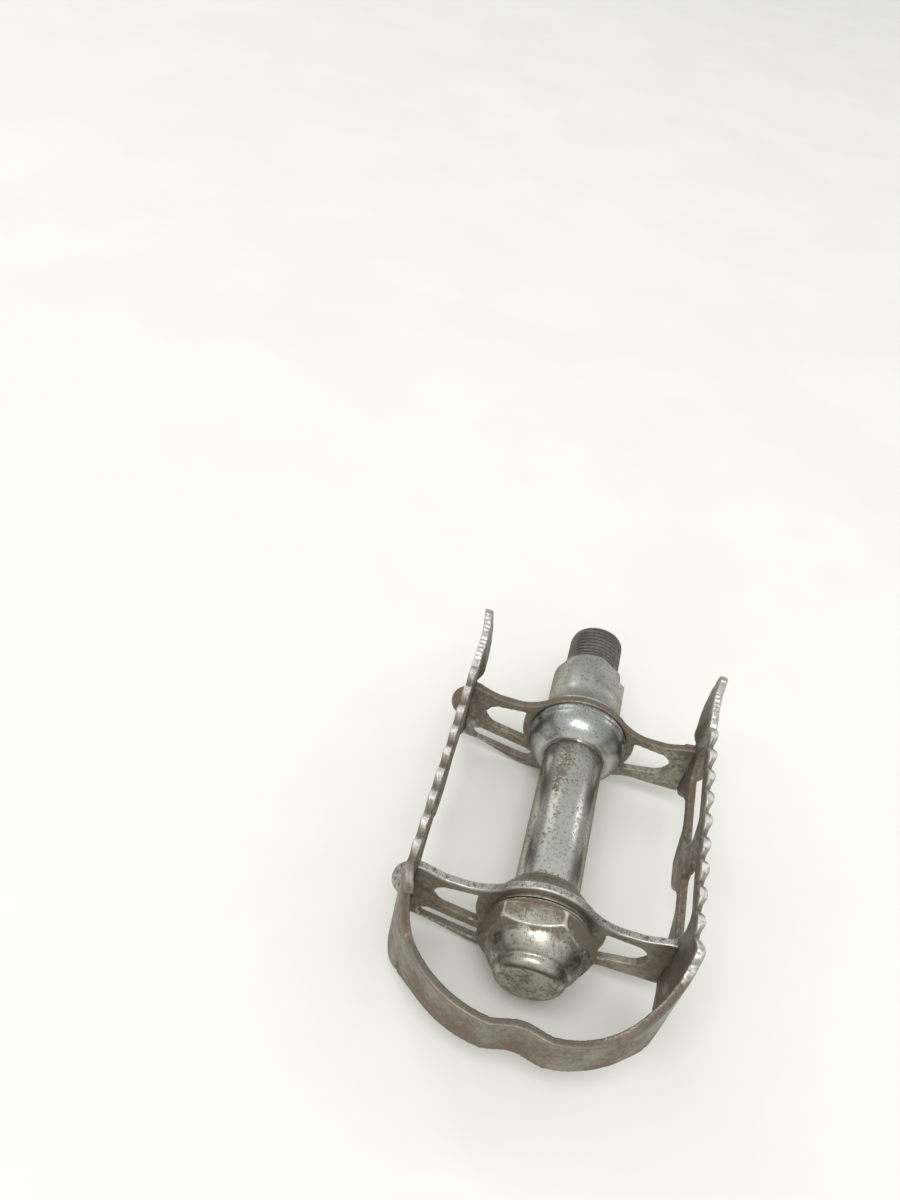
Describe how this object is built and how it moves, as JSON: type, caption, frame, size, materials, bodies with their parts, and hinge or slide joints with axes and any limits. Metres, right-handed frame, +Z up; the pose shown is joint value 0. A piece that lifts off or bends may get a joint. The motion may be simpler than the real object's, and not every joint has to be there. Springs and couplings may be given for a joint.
{
  "type": "bicycle pedal",
  "caption": "Quill bicycle pedal with a toothed cage, ball bearings, a threaded spindle and a hexagonal dust cap.",
  "frame": {"origin": "centre of the spindle's shoulder face, which bears on the crank", "axes": "+X along the spindle away from the crank, +Y to the plain rear side of the cage, +Z up on the toothed side"},
  "size_m": [0.1181, 0.0678, 0.0389],
  "materials": {
    "spindle_steel": "polished collar, dull end, dark thread",
    "bearing_steel": "ground",
    "barrel_chrome": "polished, speckled with rust",
    "cap_chrome": "polished, mottled with rust",
    "cage_steel": "dulled plating, speckled with rust"
  },
  "bodies": {
    "spindle_group": {"spindle": "spindle_steel", "adjusting_cone": "bearing_steel", "lock_washer": "bearing_steel", "lock_nut": "bearing_steel"},
    "cage_group": {"barrel_tube": "barrel_chrome", "inner_cup": "barrel_chrome", "outer_cup": "barrel_chrome", "dust_cap": "cap_chrome", "inner_cross_plate": "cage_steel", "outer_cross_plate": "cage_steel", "cage_band": "cage_steel"},
    "inner_balls": {"inner_ball_1": "bearing_steel", "inner_ball_2": "bearing_steel", "inner_ball_3": "bearing_steel", "inner_ball_4": "bearing_steel", "inner_ball_5": "bearing_steel", "inner_ball_6": "bearing_steel", "inner_ball_7": "bearing_steel", "inner_ball_8": "bearing_steel", "inner_ball_9": "bearing_steel", "inner_ball_10": "bearing_steel"},
    "outer_balls": {"outer_ball_1": "bearing_steel", "outer_ball_2": "bearing_steel", "outer_ball_3": "bearing_steel", "outer_ball_4": "bearing_steel", "outer_ball_5": "bearing_steel", "outer_ball_6": "bearing_steel", "outer_ball_7": "bearing_steel", "outer_ball_8": "bearing_steel", "outer_ball_9": "bearing_steel", "outer_ball_10": "bearing_steel"}
  },
  "joints": [
    {"name": "cage_spin", "type": "hinge", "parent": "spindle_group", "child": "cage_group", "pos_m": [0, 0, 0], "axis": [1, 0, 0], "continuous": true},
    {"name": "inner_balls_roll", "type": "hinge", "parent": "spindle_group", "child": "inner_balls", "pos_m": [0.022, 0, 0], "axis": [1, 0, 0], "continuous": true},
    {"name": "outer_balls_roll", "type": "hinge", "parent": "spindle_group", "child": "outer_balls", "pos_m": [0.0752, 0, 0], "axis": [1, 0, 0], "continuous": true}
  ],
  "couplings": [
    {"joint": "inner_balls_roll", "follows": "cage_spin", "ratio": 0.6},
    {"joint": "outer_balls_roll", "follows": "cage_spin", "ratio": 0.6}
  ]
}
